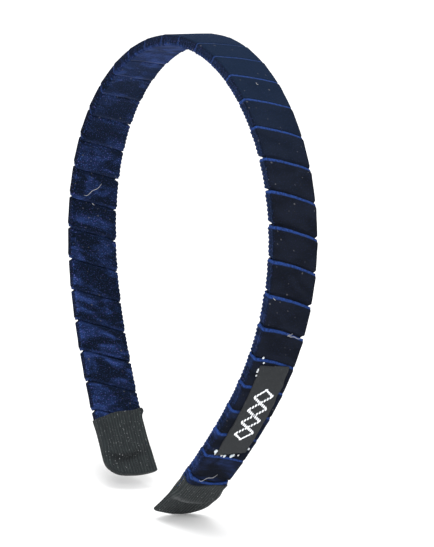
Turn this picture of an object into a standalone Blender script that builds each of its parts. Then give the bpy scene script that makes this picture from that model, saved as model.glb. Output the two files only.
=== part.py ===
"""A ribbon-wrapped hair band: a springy arch that holds the hair back, worn over the crown.

A thin moulded core is wound from end to end with one velvet ribbon, each turn lapping over the
one before it. A grosgrain wrap is glued over each tip, and a small tab label is glued on the
outside of the right arm.

Frame: X from ear to ear, Y across the band (-Y is the front edge), Z up. The band stands on its
two tips, and the origin is at the middle of its foot. Places on the band are given as
(along, across, out): the distance along the arch's middle line from the crown, right positive,
the distance across the band, and the height off the middle line towards the outside.
"""

import math

import bmesh
import bpy
from mathutils import Vector

# The arch: how its middle line bends from the crown to a tip. Metres.
BEND_STATIONS = (0.0, 0.038, 0.076, 0.114, 0.152, 0.190)
BEND_RADII = (0.055, 0.0605, 0.056, 0.084, 0.300, 0.094)
LINE_STEP = 0.0005

# The moulded core: a flat strip whose long edges are pointed and toothed to grip the ribbon.
CORE_HALF_LENGTH = 0.18
CORE_HALF_THICKNESS = 0.0006
CORE_HALF_WIDTH = 0.0064
CORE_WIDENING = 0.0004
EDGE_CHAMFER = 0.0007
TOOTH_PITCH = 0.0014
TOOTH_DEPTH = 0.0004
CORE_END_LENGTH = 0.004
CORE_END_NARROWING = 0.0025

# The velvet ribbon and how it is wound.
RIBBON_WIDTH = 0.013
RIBBON_THICKNESS = 0.00045
LAYER_GAP = 0.0002
LAP_WIDTH = 0.003
RIBBON_REACH = 0.1718
PITCH_AT_CROWN = 0.010024
PITCH_GROWTH = 0.00001
CROSSING_AT_FRONT_EDGE = 0.0129
FACE_SHARE = 0.225

# The grosgrain wraps over the tips, and the glue in them.
WRAP_THICKNESS = 0.0005
FIT_GAP = 0.0002
SLEEVE_SHOULDER = 0.0009
SHOULDER_SHARE = 0.45
POCKET_STEPS = 4
LEFT_WRAP_EDGE = 0.1665
LEFT_TIP = 0.1883
RIGHT_WRAP_EDGE = 0.1715
RIGHT_TIP = 0.190
TIP_ROUNDING = 0.003
LEFT_TIP_HALF_THICKNESS = 0.0018
RIGHT_TIP_HALF_THICKNESS = 0.0012
GLUE_END_WALL = 0.0005

# The label on the right arm.
LABEL_START = 0.1173
LABEL_END = 0.1547
LABEL_FRONT = -0.0044
LABEL_BACK = 0.00615
LABEL_THICKNESS = 0.0005
FILM_THICKNESS = 0.0002
LABEL_STEPS = 10

RIBBON_TOP = 2 * (LAYER_GAP + RIBBON_THICKNESS)
EDGE_SPREAD = 1.167
TURN_POINTS = 8


def bend_at(along):
    """Curvature of the middle line at a distance from the crown."""
    distance = min(abs(along), BEND_STATIONS[-1])
    for i in range(len(BEND_STATIONS) - 1):
        a, b = BEND_STATIONS[i], BEND_STATIONS[i + 1]
        if distance <= b:
            share = (distance - a) / (b - a)
            return (1 - share) / BEND_RADII[i] + share / BEND_RADII[i + 1]
    return 1 / BEND_RADII[-1]


def walk_middle_line():
    """Steps of (x, z, turned angle) from the crown to past the right tip."""
    x, z, angle = 0.0, 0.0, 0.0
    steps = [(x, z, angle)]
    for i in range(math.ceil((RIGHT_TIP + 0.002) / LINE_STEP)):
        middle_angle = angle + bend_at(i * LINE_STEP) * LINE_STEP / 2
        x += math.cos(middle_angle) * LINE_STEP
        z -= math.sin(middle_angle) * LINE_STEP
        angle += bend_at((i + 0.5) * LINE_STEP) * LINE_STEP
        steps.append((x, z, angle))
    return steps


MIDDLE_LINE = walk_middle_line()


def place(along, across, out):
    """A point on or near the band, in the arch's own frame with the crown at the origin."""
    step = min(abs(along) / LINE_STEP, len(MIDDLE_LINE) - 1.001)
    i = int(step)
    share = step - i
    x, z, angle = (
        (1 - share) * a + share * b for a, b in zip(MIDDLE_LINE[i], MIDDLE_LINE[i + 1])
    )
    side = 1 if along >= 0 else -1
    return Vector((side * (x + out * math.sin(angle)), across, z + out * math.cos(angle)))


def material(name, colour, roughness, metallic=0.0):
    """A plain surface with one colour."""
    made = bpy.data.materials.new(name)
    made.use_nodes = True
    shader = made.node_tree.nodes["Principled BSDF"]
    shader.inputs["Base Color"].default_value = (*colour, 1)
    shader.inputs["Roughness"].default_value = roughness
    shader.inputs["Metallic"].default_value = metallic
    return made


def turn_faces_outward(mesh):
    """Point every face of a closed mesh away from its inside."""
    shape = bmesh.new()
    shape.from_mesh(mesh)
    bmesh.ops.recalc_face_normals(shape, faces=shape.faces)
    shape.to_mesh(mesh)
    shape.free()


def loft(name, rings, finish):
    """A closed solid through a row of rings with equal numbers of points."""
    size = len(rings[0])
    points = [point for ring in rings for point in ring]
    faces = []
    for r in range(len(rings) - 1):
        for k in range(size):
            a = r * size + k
            b = r * size + (k + 1) % size
            faces.append((a, b, b + size, a + size))
    faces.append(tuple(reversed(range(size))))
    faces.append(tuple(range(len(points) - size, len(points))))
    mesh = bpy.data.meshes.new(name)
    mesh.from_pydata(points, [], faces)
    turn_faces_outward(mesh)
    mesh.materials.append(finish)
    mesh.shade_smooth()
    mesh.set_sharp_from_angle(angle=math.radians(35))
    made = bpy.data.objects.new(name, mesh)
    PARTS.objects.link(made)
    made.parent = STAND
    return made


def core_half_width(along):
    """Half the core's width, over the points of its teeth."""
    return CORE_HALF_WIDTH + CORE_WIDENING * abs(along) / CORE_HALF_LENGTH


def core_ring(along, half_width):
    """The core's six-sided section: two flat faces and two pointed edges."""
    flat, thick = half_width - EDGE_CHAMFER, CORE_HALF_THICKNESS
    outline = (
        (-flat, thick), (flat, thick), (half_width, 0),
        (flat, -thick), (-flat, -thick), (-half_width, 0),
    )
    return [place(along, across, out) for across, out in outline]


def make_core_band(finish):
    """The springy strip, with teeth along both edges and narrowed ends."""
    count = round(2 * CORE_HALF_LENGTH / (TOOTH_PITCH / 2))
    rings = []
    for i in range(count + 1):
        along = -CORE_HALF_LENGTH + 2 * CORE_HALF_LENGTH * i / count
        into_end = max(0.0, abs(along) - (CORE_HALF_LENGTH - CORE_END_LENGTH)) / CORE_END_LENGTH
        narrowing = CORE_END_NARROWING * (1 - math.sqrt(1 - min(into_end, 1.0) ** 2))
        tooth = TOOTH_DEPTH if i % 2 else 0.0
        rings.append(core_ring(along, core_half_width(along) - tooth - narrowing))
    return loft("core_band", rings, finish)


def lap_height(across_ribbon):
    """Height of the ribbon's underside off the core: its start side lies on the turn before."""
    low, high = LAYER_GAP, 2 * LAYER_GAP + RIBBON_THICKNESS
    ramp = RIBBON_WIDTH / 2 - LAP_WIDTH
    share = min(max((ramp - across_ribbon) / (2 * ramp), 0.0), 1.0)
    return low + (high - low) * share


def middle_of_turn(turn):
    """Where the middle of the ribbon's width is along the arch after a number of turns."""
    crossing = CROSSING_AT_FRONT_EDGE + RIBBON_WIDTH / 2
    return crossing + (PITCH_AT_CROWN + PITCH_GROWTH * turn) * turn


def wound_point(turn, across_ribbon, lift):
    """A point of the wound ribbon: how far round it is, and where across its own width."""
    along = middle_of_turn(turn) + across_ribbon
    half_width = core_half_width(along)
    height = lap_height(across_ribbon) + lift
    flat, top = half_width - EDGE_CHAMFER, CORE_HALF_THICKNESS + height
    edge = half_width + EDGE_SPREAD * height
    outline = (
        (-edge, 0), (-flat, top), (0, top), (flat, top),
        (edge, 0), (flat, -top), (0, -top), (-flat, -top),
    )
    across, out = outline[round(TURN_POINTS * (turn % 1.0)) % TURN_POINTS]
    return place(along, across, out)


def at_face_middle(turn):
    """Whether a turn count is at the middle of the core's outer or inner face."""
    return round(4 * turn) % 2 == 1 and 4 * turn == round(4 * turn)


def turn_stops():
    """Where the ribbon bends on its way round, in turns, from one face middle to another."""
    most = math.ceil(2 * RIBBON_REACH / PITCH_AT_CROWN)
    stops = [i / TURN_POINTS for i in range(-most * TURN_POINTS, most * TURN_POINTS + 1)]
    stops = [turn for turn in stops if abs(middle_of_turn(turn)) <= RIBBON_REACH]
    while not at_face_middle(stops[0]):
        stops.pop(0)
    while not at_face_middle(stops[-1]):
        stops.pop()
    return stops


def make_velvet_ribbon(finish):
    """One long ribbon wound round the core, every turn lapping over the last."""
    half, ramp = RIBBON_WIDTH / 2, RIBBON_WIDTH / 2 - LAP_WIDTH
    lines = (-half, -ramp, 0.0, ramp, half)
    rings = []
    for turn in turn_stops():
        under = [wound_point(turn, line, 0.0) for line in lines]
        over = [wound_point(turn, line, RIBBON_THICKNESS) for line in lines]
        rings.append(over + under[::-1])
    return loft("velvet_ribbon", rings, finish)


def sleeve_ring(along, half_width, half_thickness):
    """A ten-sided section round the band: two flat faces and two blunt edges."""
    flat = half_width - SLEEVE_SHOULDER
    shoulder = half_thickness * SHOULDER_SHARE
    outline = (
        (-flat, half_thickness), (0, half_thickness), (flat, half_thickness),
        (half_width, shoulder), (half_width, -shoulder),
        (flat, -half_thickness), (0, -half_thickness), (-flat, -half_thickness),
        (-half_width, -shoulder), (-half_width, shoulder),
    )
    return [place(along, across, out) for across, out in outline]


def make_cup(name, side, mouth, pocket_end, tip, pocket, wall, tip_half_thickness, finish):
    """A cup pushed over one end of the band; pocket is its inner half width and half thickness."""
    inner_width, inner_thickness = pocket
    outer_width, outer_thickness = inner_width + wall, inner_thickness + wall
    inside = [mouth + (pocket_end - mouth) * i / POCKET_STEPS for i in range(POCKET_STEPS + 1)]
    rings = [sleeve_ring(side * along, inner_width, inner_thickness) for along in reversed(inside)]
    rings += [sleeve_ring(side * along, outer_width, outer_thickness) for along in inside]
    if tip - pocket_end > TIP_ROUNDING / 2:
        for i in range(POCKET_STEPS):
            share = (i + 1) / POCKET_STEPS
            width = outer_width - TIP_ROUNDING * (1 - math.sqrt(1 - share * share))
            thickness = outer_thickness + (tip_half_thickness - outer_thickness) * share
            along = pocket_end + (tip - pocket_end) * share
            rings.append(sleeve_ring(side * along, width, thickness))
    else:
        rings.append(sleeve_ring(side * tip, outer_width, outer_thickness))
    return loft(name, rings, finish)


def pocket_size(clearance):
    """Half width and half thickness of what the ribbon leaves at the tips, with a clearance."""
    half_width = core_half_width(CORE_HALF_LENGTH) + EDGE_SPREAD * RIBBON_TOP
    return half_width + clearance, CORE_HALF_THICKNESS + RIBBON_TOP + clearance


def make_end_wraps(finish):
    """The grosgrain wrap glued over each tip, with its cloth pinched flat past the core."""
    pocket_end = CORE_HALF_LENGTH + FIT_GAP + GLUE_END_WALL + FIT_GAP
    pocket = pocket_size(FIT_GAP)
    for name, side, mouth, tip, end_thickness in (
        ("left_end_wrap", -1, LEFT_WRAP_EDGE, LEFT_TIP, LEFT_TIP_HALF_THICKNESS),
        ("right_end_wrap", 1, RIGHT_WRAP_EDGE, RIGHT_TIP, RIGHT_TIP_HALF_THICKNESS),
    ):
        make_cup(name, side, mouth, pocket_end, tip, pocket, WRAP_THICKNESS, end_thickness, finish)


def make_wrap_glue(finish):
    """The hot glue set round the core's bare end inside each wrap, past the ribbon's end."""
    outer_width, outer_thickness = pocket_size(0.0)
    inner_thickness = CORE_HALF_THICKNESS + FIT_GAP
    wall = outer_thickness - inner_thickness
    pocket = (outer_width - wall, inner_thickness)
    mouth = RIBBON_REACH + RIBBON_WIDTH / 2 + 2 * FIT_GAP
    pocket_end = CORE_HALF_LENGTH + FIT_GAP
    tip = pocket_end + GLUE_END_WALL
    for name, side in (("left_wrap_glue", -1), ("right_wrap_glue", 1)):
        make_cup(name, side, mouth, pocket_end, tip, pocket, wall, outer_thickness, finish)


def make_plate(name, base, thickness, finish):
    """A thin plate that lies along the outside of the right arm."""
    top = base + thickness
    corners = ((LABEL_FRONT, top), (LABEL_BACK, top), (LABEL_BACK, base), (LABEL_FRONT, base))
    rings = []
    for i in range(LABEL_STEPS + 1):
        along = LABEL_START + (LABEL_END - LABEL_START) * i / LABEL_STEPS
        rings.append([place(along, across, out) for across, out in corners])
    return loft(name, rings, finish)


def make_label(cloth, glue):
    """The tab label and the glue film under it."""
    film_base = CORE_HALF_THICKNESS + RIBBON_TOP + FIT_GAP
    make_plate("label_glue", film_base, FILM_THICKNESS, glue)
    make_plate("label", film_base + FILM_THICKNESS + FIT_GAP, LABEL_THICKNESS, cloth)


for old in list(bpy.data.objects):
    bpy.data.objects.remove(old)

PARTS = bpy.data.collections.new("ribbon_wrapped_hair_band")
bpy.context.scene.collection.children.link(PARTS)
STAND = bpy.data.objects.new("stand", None)
PARTS.objects.link(STAND)

make_core_band(material("core_plastic", (0.05, 0.05, 0.06), 0.5))
make_velvet_ribbon(material("navy_velvet", (0.012, 0.018, 0.075), 0.95))
make_end_wraps(material("grosgrain", (0.030, 0.036, 0.036), 0.85))
hot_glue = material("hot_glue", (0.80, 0.80, 0.76), 0.35)
make_wrap_glue(hot_glue)
make_label(material("label_cloth", (0.055, 0.055, 0.055), 0.9), hot_glue)

bpy.context.view_layer.update()
lowest = min(
    vertex.co.z for part in PARTS.objects if part.type == "MESH" for vertex in part.data.vertices
)
STAND.location.z = -lowest
bpy.context.view_layer.update()
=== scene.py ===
# %% [markdown]
# # A hair band wound with velvet ribbon
# This lesson dresses a plain CAD model of a hair band. The CAD parts give the frame: where the
# springy core runs, how long each tip wrap is and where the label sits. Every cell below makes one
# visible piece or one finish around that frame, and nothing in the frame is moved or resized.

# %% Load the frame
import math

import bmesh
import bpy
from mathutils import Matrix, Vector, noise


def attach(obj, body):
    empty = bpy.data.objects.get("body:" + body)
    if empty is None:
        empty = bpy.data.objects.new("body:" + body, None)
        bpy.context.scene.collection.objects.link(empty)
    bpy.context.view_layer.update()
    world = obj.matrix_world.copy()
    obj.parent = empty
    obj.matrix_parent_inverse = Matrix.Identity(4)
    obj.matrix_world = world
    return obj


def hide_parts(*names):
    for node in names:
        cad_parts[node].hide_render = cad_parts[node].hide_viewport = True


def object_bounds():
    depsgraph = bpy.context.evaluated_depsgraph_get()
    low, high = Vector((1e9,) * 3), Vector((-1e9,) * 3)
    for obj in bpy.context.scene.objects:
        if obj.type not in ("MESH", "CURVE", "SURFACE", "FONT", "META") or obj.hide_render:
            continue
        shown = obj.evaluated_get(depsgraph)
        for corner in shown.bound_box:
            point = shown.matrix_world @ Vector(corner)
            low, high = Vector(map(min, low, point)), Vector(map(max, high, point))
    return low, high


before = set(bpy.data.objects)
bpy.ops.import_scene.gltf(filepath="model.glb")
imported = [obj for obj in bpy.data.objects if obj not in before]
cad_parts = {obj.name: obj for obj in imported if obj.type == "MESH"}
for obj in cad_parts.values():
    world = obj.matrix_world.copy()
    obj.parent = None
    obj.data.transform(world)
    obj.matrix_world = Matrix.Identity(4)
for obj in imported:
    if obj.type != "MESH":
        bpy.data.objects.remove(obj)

CAD_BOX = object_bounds()
BODY = "root"
print("CAD parts:", sorted(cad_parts))
print("CAD box, metres:", [list(map(float, corner)) for corner in CAD_BOX])

# %% [markdown]
# ## Sums between sockets
# Node trees are easier to read as sums. A Wire holds one output socket, and its operators add the
# Math nodes. A Board wraps a tree, for geometry and for shading alike, and its one method adds any
# other node: first its settings, then the values or links of its sockets.

# %% A small language for node trees
class Wire:
    """One output socket that can take part in sums."""

    def __init__(self, board, socket):
        self.board = board
        self.socket = socket

    def maths(self, operation, *others):
        return self.board.add("ShaderNodeMath", {"operation": operation}, (self, *others))

    def output(self, name):
        """Another output of the same node."""
        return Wire(self.board, self.board.find(self.socket.node.outputs, name))

    def __add__(self, other):
        return self.maths("ADD", other)

    __radd__ = __add__

    def __sub__(self, other):
        return self.maths("SUBTRACT", other)

    def __rsub__(self, other):
        return self.maths("MULTIPLY", -1.0).maths("ADD", other)

    def __mul__(self, other):
        return self.maths("MULTIPLY", other)

    __rmul__ = __mul__

    def __truediv__(self, other):
        return self.maths("DIVIDE", other)

    def clamped(self):
        return self.maths("MAXIMUM", 0.0).maths("MINIMUM", 1.0)


class Board:
    """A node tree that nodes are added to."""

    def __init__(self, tree):
        self.tree = tree

    def find(self, sockets, key):
        """A socket by its number, its identifier or its name."""
        if isinstance(key, int):
            return sockets[key]
        for socket in sockets:
            if socket.identifier == key:
                return socket
        return sockets[key]

    def add(self, kind, settings=None, sockets=(), output=0):
        node = self.tree.nodes.new(kind)
        for name, value in (settings or {}).items():
            setattr(node, name, value)
        pairs = sockets.items() if isinstance(sockets, dict) else enumerate(sockets)
        for key, value in pairs:
            target = self.find(node.inputs, key)
            if isinstance(value, Wire):
                self.tree.links.new(value.socket, target)
            else:
                target.default_value = value
        return Wire(self, self.find(node.outputs, output)) if len(node.outputs) else node

    def step(self, value, low, high):
        """0 below low, 1 above high, and a smooth climb between them."""
        settings = {"interpolation_type": "SMOOTHSTEP"}
        names = {"Value": value, "From Min": low, "From Max": high, "To Min": 0.0, "To Max": 1.0}
        if low > high:
            names.update({"From Min": high, "From Max": low, "To Min": 1.0, "To Max": 0.0})
        return self.add("ShaderNodeMapRange", settings, names)

    def mix(self, share, first, second):
        """A colour between two colours."""
        sockets = {"Factor_Float": share, "A_Color": first, "B_Color": second}
        return self.add("ShaderNodeMix", {"data_type": "RGBA"}, sockets, "Result_Color")

    def vector(self, x, y, z):
        return self.add("ShaderNodeCombineXYZ", None, (x, y, z))

    def split(self, vector):
        """The x of a vector; y and z are outputs of the same node."""
        return self.add("ShaderNodeSeparateXYZ", None, (vector,))

    def noise(self, place, scale, detail=2.0, roughness=0.5, distortion=0.0):
        sockets = {"Vector": place, "Scale": scale, "Detail": detail}
        sockets.update({"Roughness": roughness, "Distortion": distortion})
        return self.add("ShaderNodeTexNoise", None, sockets)


print("node helpers ready")

# %% [markdown]
# ## The arch
# The real band is a flat springy strip bent edge-on into an arch. Its middle line bends by a known
# radius at each station from the crown to the tip, so walking along it and turning a little at each
# step draws it. The same walk is in the CAD, and the top of the CAD box gives the arch its height.

# %% The middle line
BEND_STATIONS = (0.0, 0.038, 0.076, 0.114, 0.152, 0.190)
BEND_RADII = (0.055, 0.0605, 0.056, 0.084, 0.300, 0.094)
LINE_STEP = 0.0005
LINE_REACH = 0.194
CORE_HALF_THICKNESS = 0.0006
CAD_CORE_HALF_WIDTH = 0.0064
CAD_RIBBON_TOP = 0.0013


def bend_at(along):
    """Curvature of the middle line at a distance from the crown."""
    distance = min(abs(along), BEND_STATIONS[-1])
    for i in range(len(BEND_STATIONS) - 1):
        a, b = BEND_STATIONS[i], BEND_STATIONS[i + 1]
        if distance <= b:
            share = (distance - a) / (b - a)
            return (1 - share) / BEND_RADII[i] + share / BEND_RADII[i + 1]
    return 1 / BEND_RADII[-1]


def walk_middle_line():
    """Steps of (x, z, turned angle) from the crown to past the right tip."""
    x, z, angle = 0.0, 0.0, 0.0
    steps = [(x, z, angle)]
    for i in range(round(LINE_REACH / LINE_STEP)):
        middle_angle = angle + bend_at(i * LINE_STEP) * LINE_STEP / 2
        x += math.cos(middle_angle) * LINE_STEP
        z -= math.sin(middle_angle) * LINE_STEP
        angle += bend_at((i + 0.5) * LINE_STEP) * LINE_STEP
        steps.append((x, z, angle))
    return steps


MIDDLE_LINE = walk_middle_line()
CROWN_HEIGHT = CAD_BOX[1][2] - CORE_HALF_THICKNESS - CAD_RIBBON_TOP


def place(along, across, out):
    """The point at a distance along the arch, across the band and out from its middle line."""
    step = min(abs(along) / LINE_STEP, len(MIDDLE_LINE) - 1.001)
    i = int(step)
    share = step - i
    x, z, angle = ((1 - share) * a + share * b for a, b in zip(MIDDLE_LINE[i], MIDDLE_LINE[i + 1]))
    side = 1 if along >= 0 else -1
    height = CROWN_HEIGHT + z + out * math.cos(angle)
    return Vector((side * (x + out * math.sin(angle)), across, height))


def add_object(name, data):
    """A new object in the scene."""
    made = bpy.data.objects.new(name, data)
    bpy.context.scene.collection.objects.link(made)
    return made


def make_line_object():
    """The middle line as a curve that geometry trees can sample, left tip first."""
    curve = bpy.data.curves.new("middle_line", "CURVE")
    curve.dimensions = "3D"
    count = 2 * (len(MIDDLE_LINE) - 1) + 1
    spline = curve.splines.new("POLY")
    spline.points.add(count - 1)
    for i, point in enumerate(spline.points):
        along = (i - (count - 1) / 2) * LINE_STEP
        point.co = (*place(along, 0.0, 0.0), 1.0)
    line = add_object("middle_line", curve)
    line.hide_render = True
    return line


LINE = make_line_object()
print("arch height of the middle line at the crown:", round(CROWN_HEIGHT, 4))

# %% [markdown]
# ## Trees that bend flat things onto the arch
# Each soft piece starts as a flat cut: x runs across the cloth, y along it and z through it. A
# geometry tree then lays the cut on the arch. These helpers open a tree with named inputs, sample
# the arch at a distance along it, and turn the finished modifier into a plain mesh.

# %% Tree helpers
KINDS = {"Middle Line": "NodeSocketObject", "Finish": "NodeSocketMaterial"}


def open_tree(name, inputs):
    """A geometry tree with a Geometry input and the named ones; returns its board and inputs."""
    tree = bpy.data.node_groups.new(name, "GeometryNodeTree")
    tree.is_modifier = True
    tree.interface.new_socket("Geometry", in_out="INPUT", socket_type="NodeSocketGeometry")
    for label in inputs:
        kind = KINDS.get(label, "NodeSocketFloat")
        tree.interface.new_socket(label, in_out="INPUT", socket_type=kind)
    tree.interface.new_socket("Geometry", in_out="OUTPUT", socket_type="NodeSocketGeometry")
    board = Board(tree)
    given = board.add("NodeGroupInput")
    wires = {label: given.output(label) for label in ("Geometry", *inputs)}
    return board, wires


def close_tree(board, geometry, finish):
    """End a tree the way the export needs: real geometry with its material."""
    real = board.add("GeometryNodeRealizeInstances", None, {"Geometry": geometry})
    dressed = board.add("GeometryNodeSetMaterial", None, {"Geometry": real, "Material": finish})
    board.add("NodeGroupOutput", None, {"Geometry": dressed})
    return board.tree


def store(board, geometry, name, value):
    """Keep a value on the points, for the shader to read by its name."""
    sockets = {"Geometry": geometry, "Name": name, "Value": value}
    settings = {"data_type": "FLOAT", "domain": "POINT"}
    return board.add("GeometryNodeStoreNamedAttribute", settings, sockets)


def on_arch(board, line, along, across, out):
    """The place at a distance along the arch from the crown, across the band and out from it."""
    curve = board.add("GeometryNodeObjectInfo", None, {"Object": line}, "Geometry")
    sockets = {"Curves": curve, "Length": along + LINE_REACH}
    sample = board.add("GeometryNodeSampleCurve", {"mode": "LENGTH"}, sockets, "Position")
    ahead = board.split(sample.output("Tangent"))
    middle = board.split(sample)
    x = middle - ahead.output("Z") * out
    z = middle.output("Z") + ahead * out
    return board.vector(x, across, z)


def run_tree(name, start, tree, values):
    """Put a tree on an object, set its inputs by identifier and keep the result as a plain mesh."""
    modifier = start.modifiers.new(tree.name, "NODES")
    modifier.node_group = tree
    for item in tree.interface.items_tree:
        if item.item_type == "SOCKET" and item.in_out == "INPUT" and item.name in values:
            modifier[item.identifier] = values[item.name]
    bpy.context.view_layer.update()
    evaluated = start.evaluated_get(bpy.context.evaluated_depsgraph_get())
    mesh = bpy.data.meshes.new_from_object(evaluated)
    bpy.data.objects.remove(start)
    mesh.name = name
    piece = add_object(name, mesh)
    print(name, "has", sum(len(p.vertices) - 2 for p in mesh.polygons), "triangles")
    return piece


def fit(piece, stands_for=None):
    """Hang a finished piece on the band's one body and say which CAD part it replaces."""
    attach(piece, BODY)
    if stands_for:
        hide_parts(stands_for)


def flat_strip(name, rows, section):
    """A flat closed strip: the section's (across, through) points repeated at each row's y."""
    size = len(section)
    points = [(x, y, z) for y in rows for x, z in section]
    faces = []
    for r in range(len(rows) - 1):
        for k in range(size):
            a, b = r * size + k, r * size + (k + 1) % size
            faces.append((a, a + size, b + size, b))
    faces.append(tuple(range(size)))
    faces.append(tuple(reversed(range(len(points) - size, len(points)))))
    mesh = bpy.data.meshes.new(name)
    mesh.from_pydata(points, [], faces)
    flat = mesh.uv_layers.new(name="flat")
    for loop in mesh.loops:
        x, y, z = points[loop.vertex_index]
        flat.data[loop.index].uv = (y, x)
    mesh.shade_smooth()
    return add_object(name, mesh)


print("tree helpers ready")

# %% [markdown]
# ## Velvet
# Velvet is dark where its pile points at the eye and bright where it leans away, so the same
# ribbon looks black on one side of the band and blue on the other. The pile leans along the
# ribbon's length. Here the shading normal is tipped that way with the Tangent of the ribbon's own
# UV map, which gives the change from face to face without painting it. Other light and shade is
# painted into the colour: a lighter crown, painted light and shade and a darker tone on the inner
# face, painted highlights over the core's teeth and painted glints on stray pile tips. The woven
# edge has no pile and stays a bright satin blue, dimmed in places by painted shade, and the
# inside is crushed.

# %% Velvet finish
RIBBON_WIDTH = 0.013
SELVEDGE_WIDTH = 0.0007
PILE_LEAN = -0.6
PITCH_SHARE = 0.2746
CROSSING = 0.0194


def new_finish(name, shine):
    """A material with its constant values set on the shader's own sockets."""
    material = bpy.data.materials.new(name)
    material.use_nodes = True
    board = Board(material.node_tree)
    shader = material.node_tree.nodes["Principled BSDF"]
    for socket, value in shine.items():
        shader.inputs[socket].default_value = value
    return material, board, shader


def connect(board, shader, **wires):
    """Link wires to the shader's sockets, named with underscores for spaces."""
    for name, wire in wires.items():
        board.tree.links.new(wire.socket, shader.inputs[name.replace("_", " ")])


def attribute(board, name):
    return board.add("ShaderNodeAttribute", {"attribute_name": name}, (), "Fac")


def flat_map(board):
    """The cloth's flat map, with the ways along and across it."""
    flat = board.add("ShaderNodeUVMap", {"uv_map": "flat"})
    length = board.split(flat)
    return flat, length, length.output("Y")


def raise_surface(board, relief, distance, strength):
    """A bumped normal from a relief."""
    sockets = {"Height": relief, "Distance": distance, "Strength": strength}
    return board.add("ShaderNodeBump", None, sockets, "Normal")


def tip_along_cloth(board, normal, amount):
    """A normal that leans along the length of the cloth's flat UV map."""
    length = board.add("ShaderNodeTangent", {"direction_type": "UV_MAP", "uv_map": "flat"})
    sockets = {"Vector": length, "Scale": amount}
    lean = board.add("ShaderNodeVectorMath", {"operation": "SCALE"}, sockets)
    total = board.add("ShaderNodeVectorMath", {"operation": "ADD"}, (normal, lean))
    return board.add("ShaderNodeVectorMath", {"operation": "NORMALIZE"}, (total,))


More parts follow.
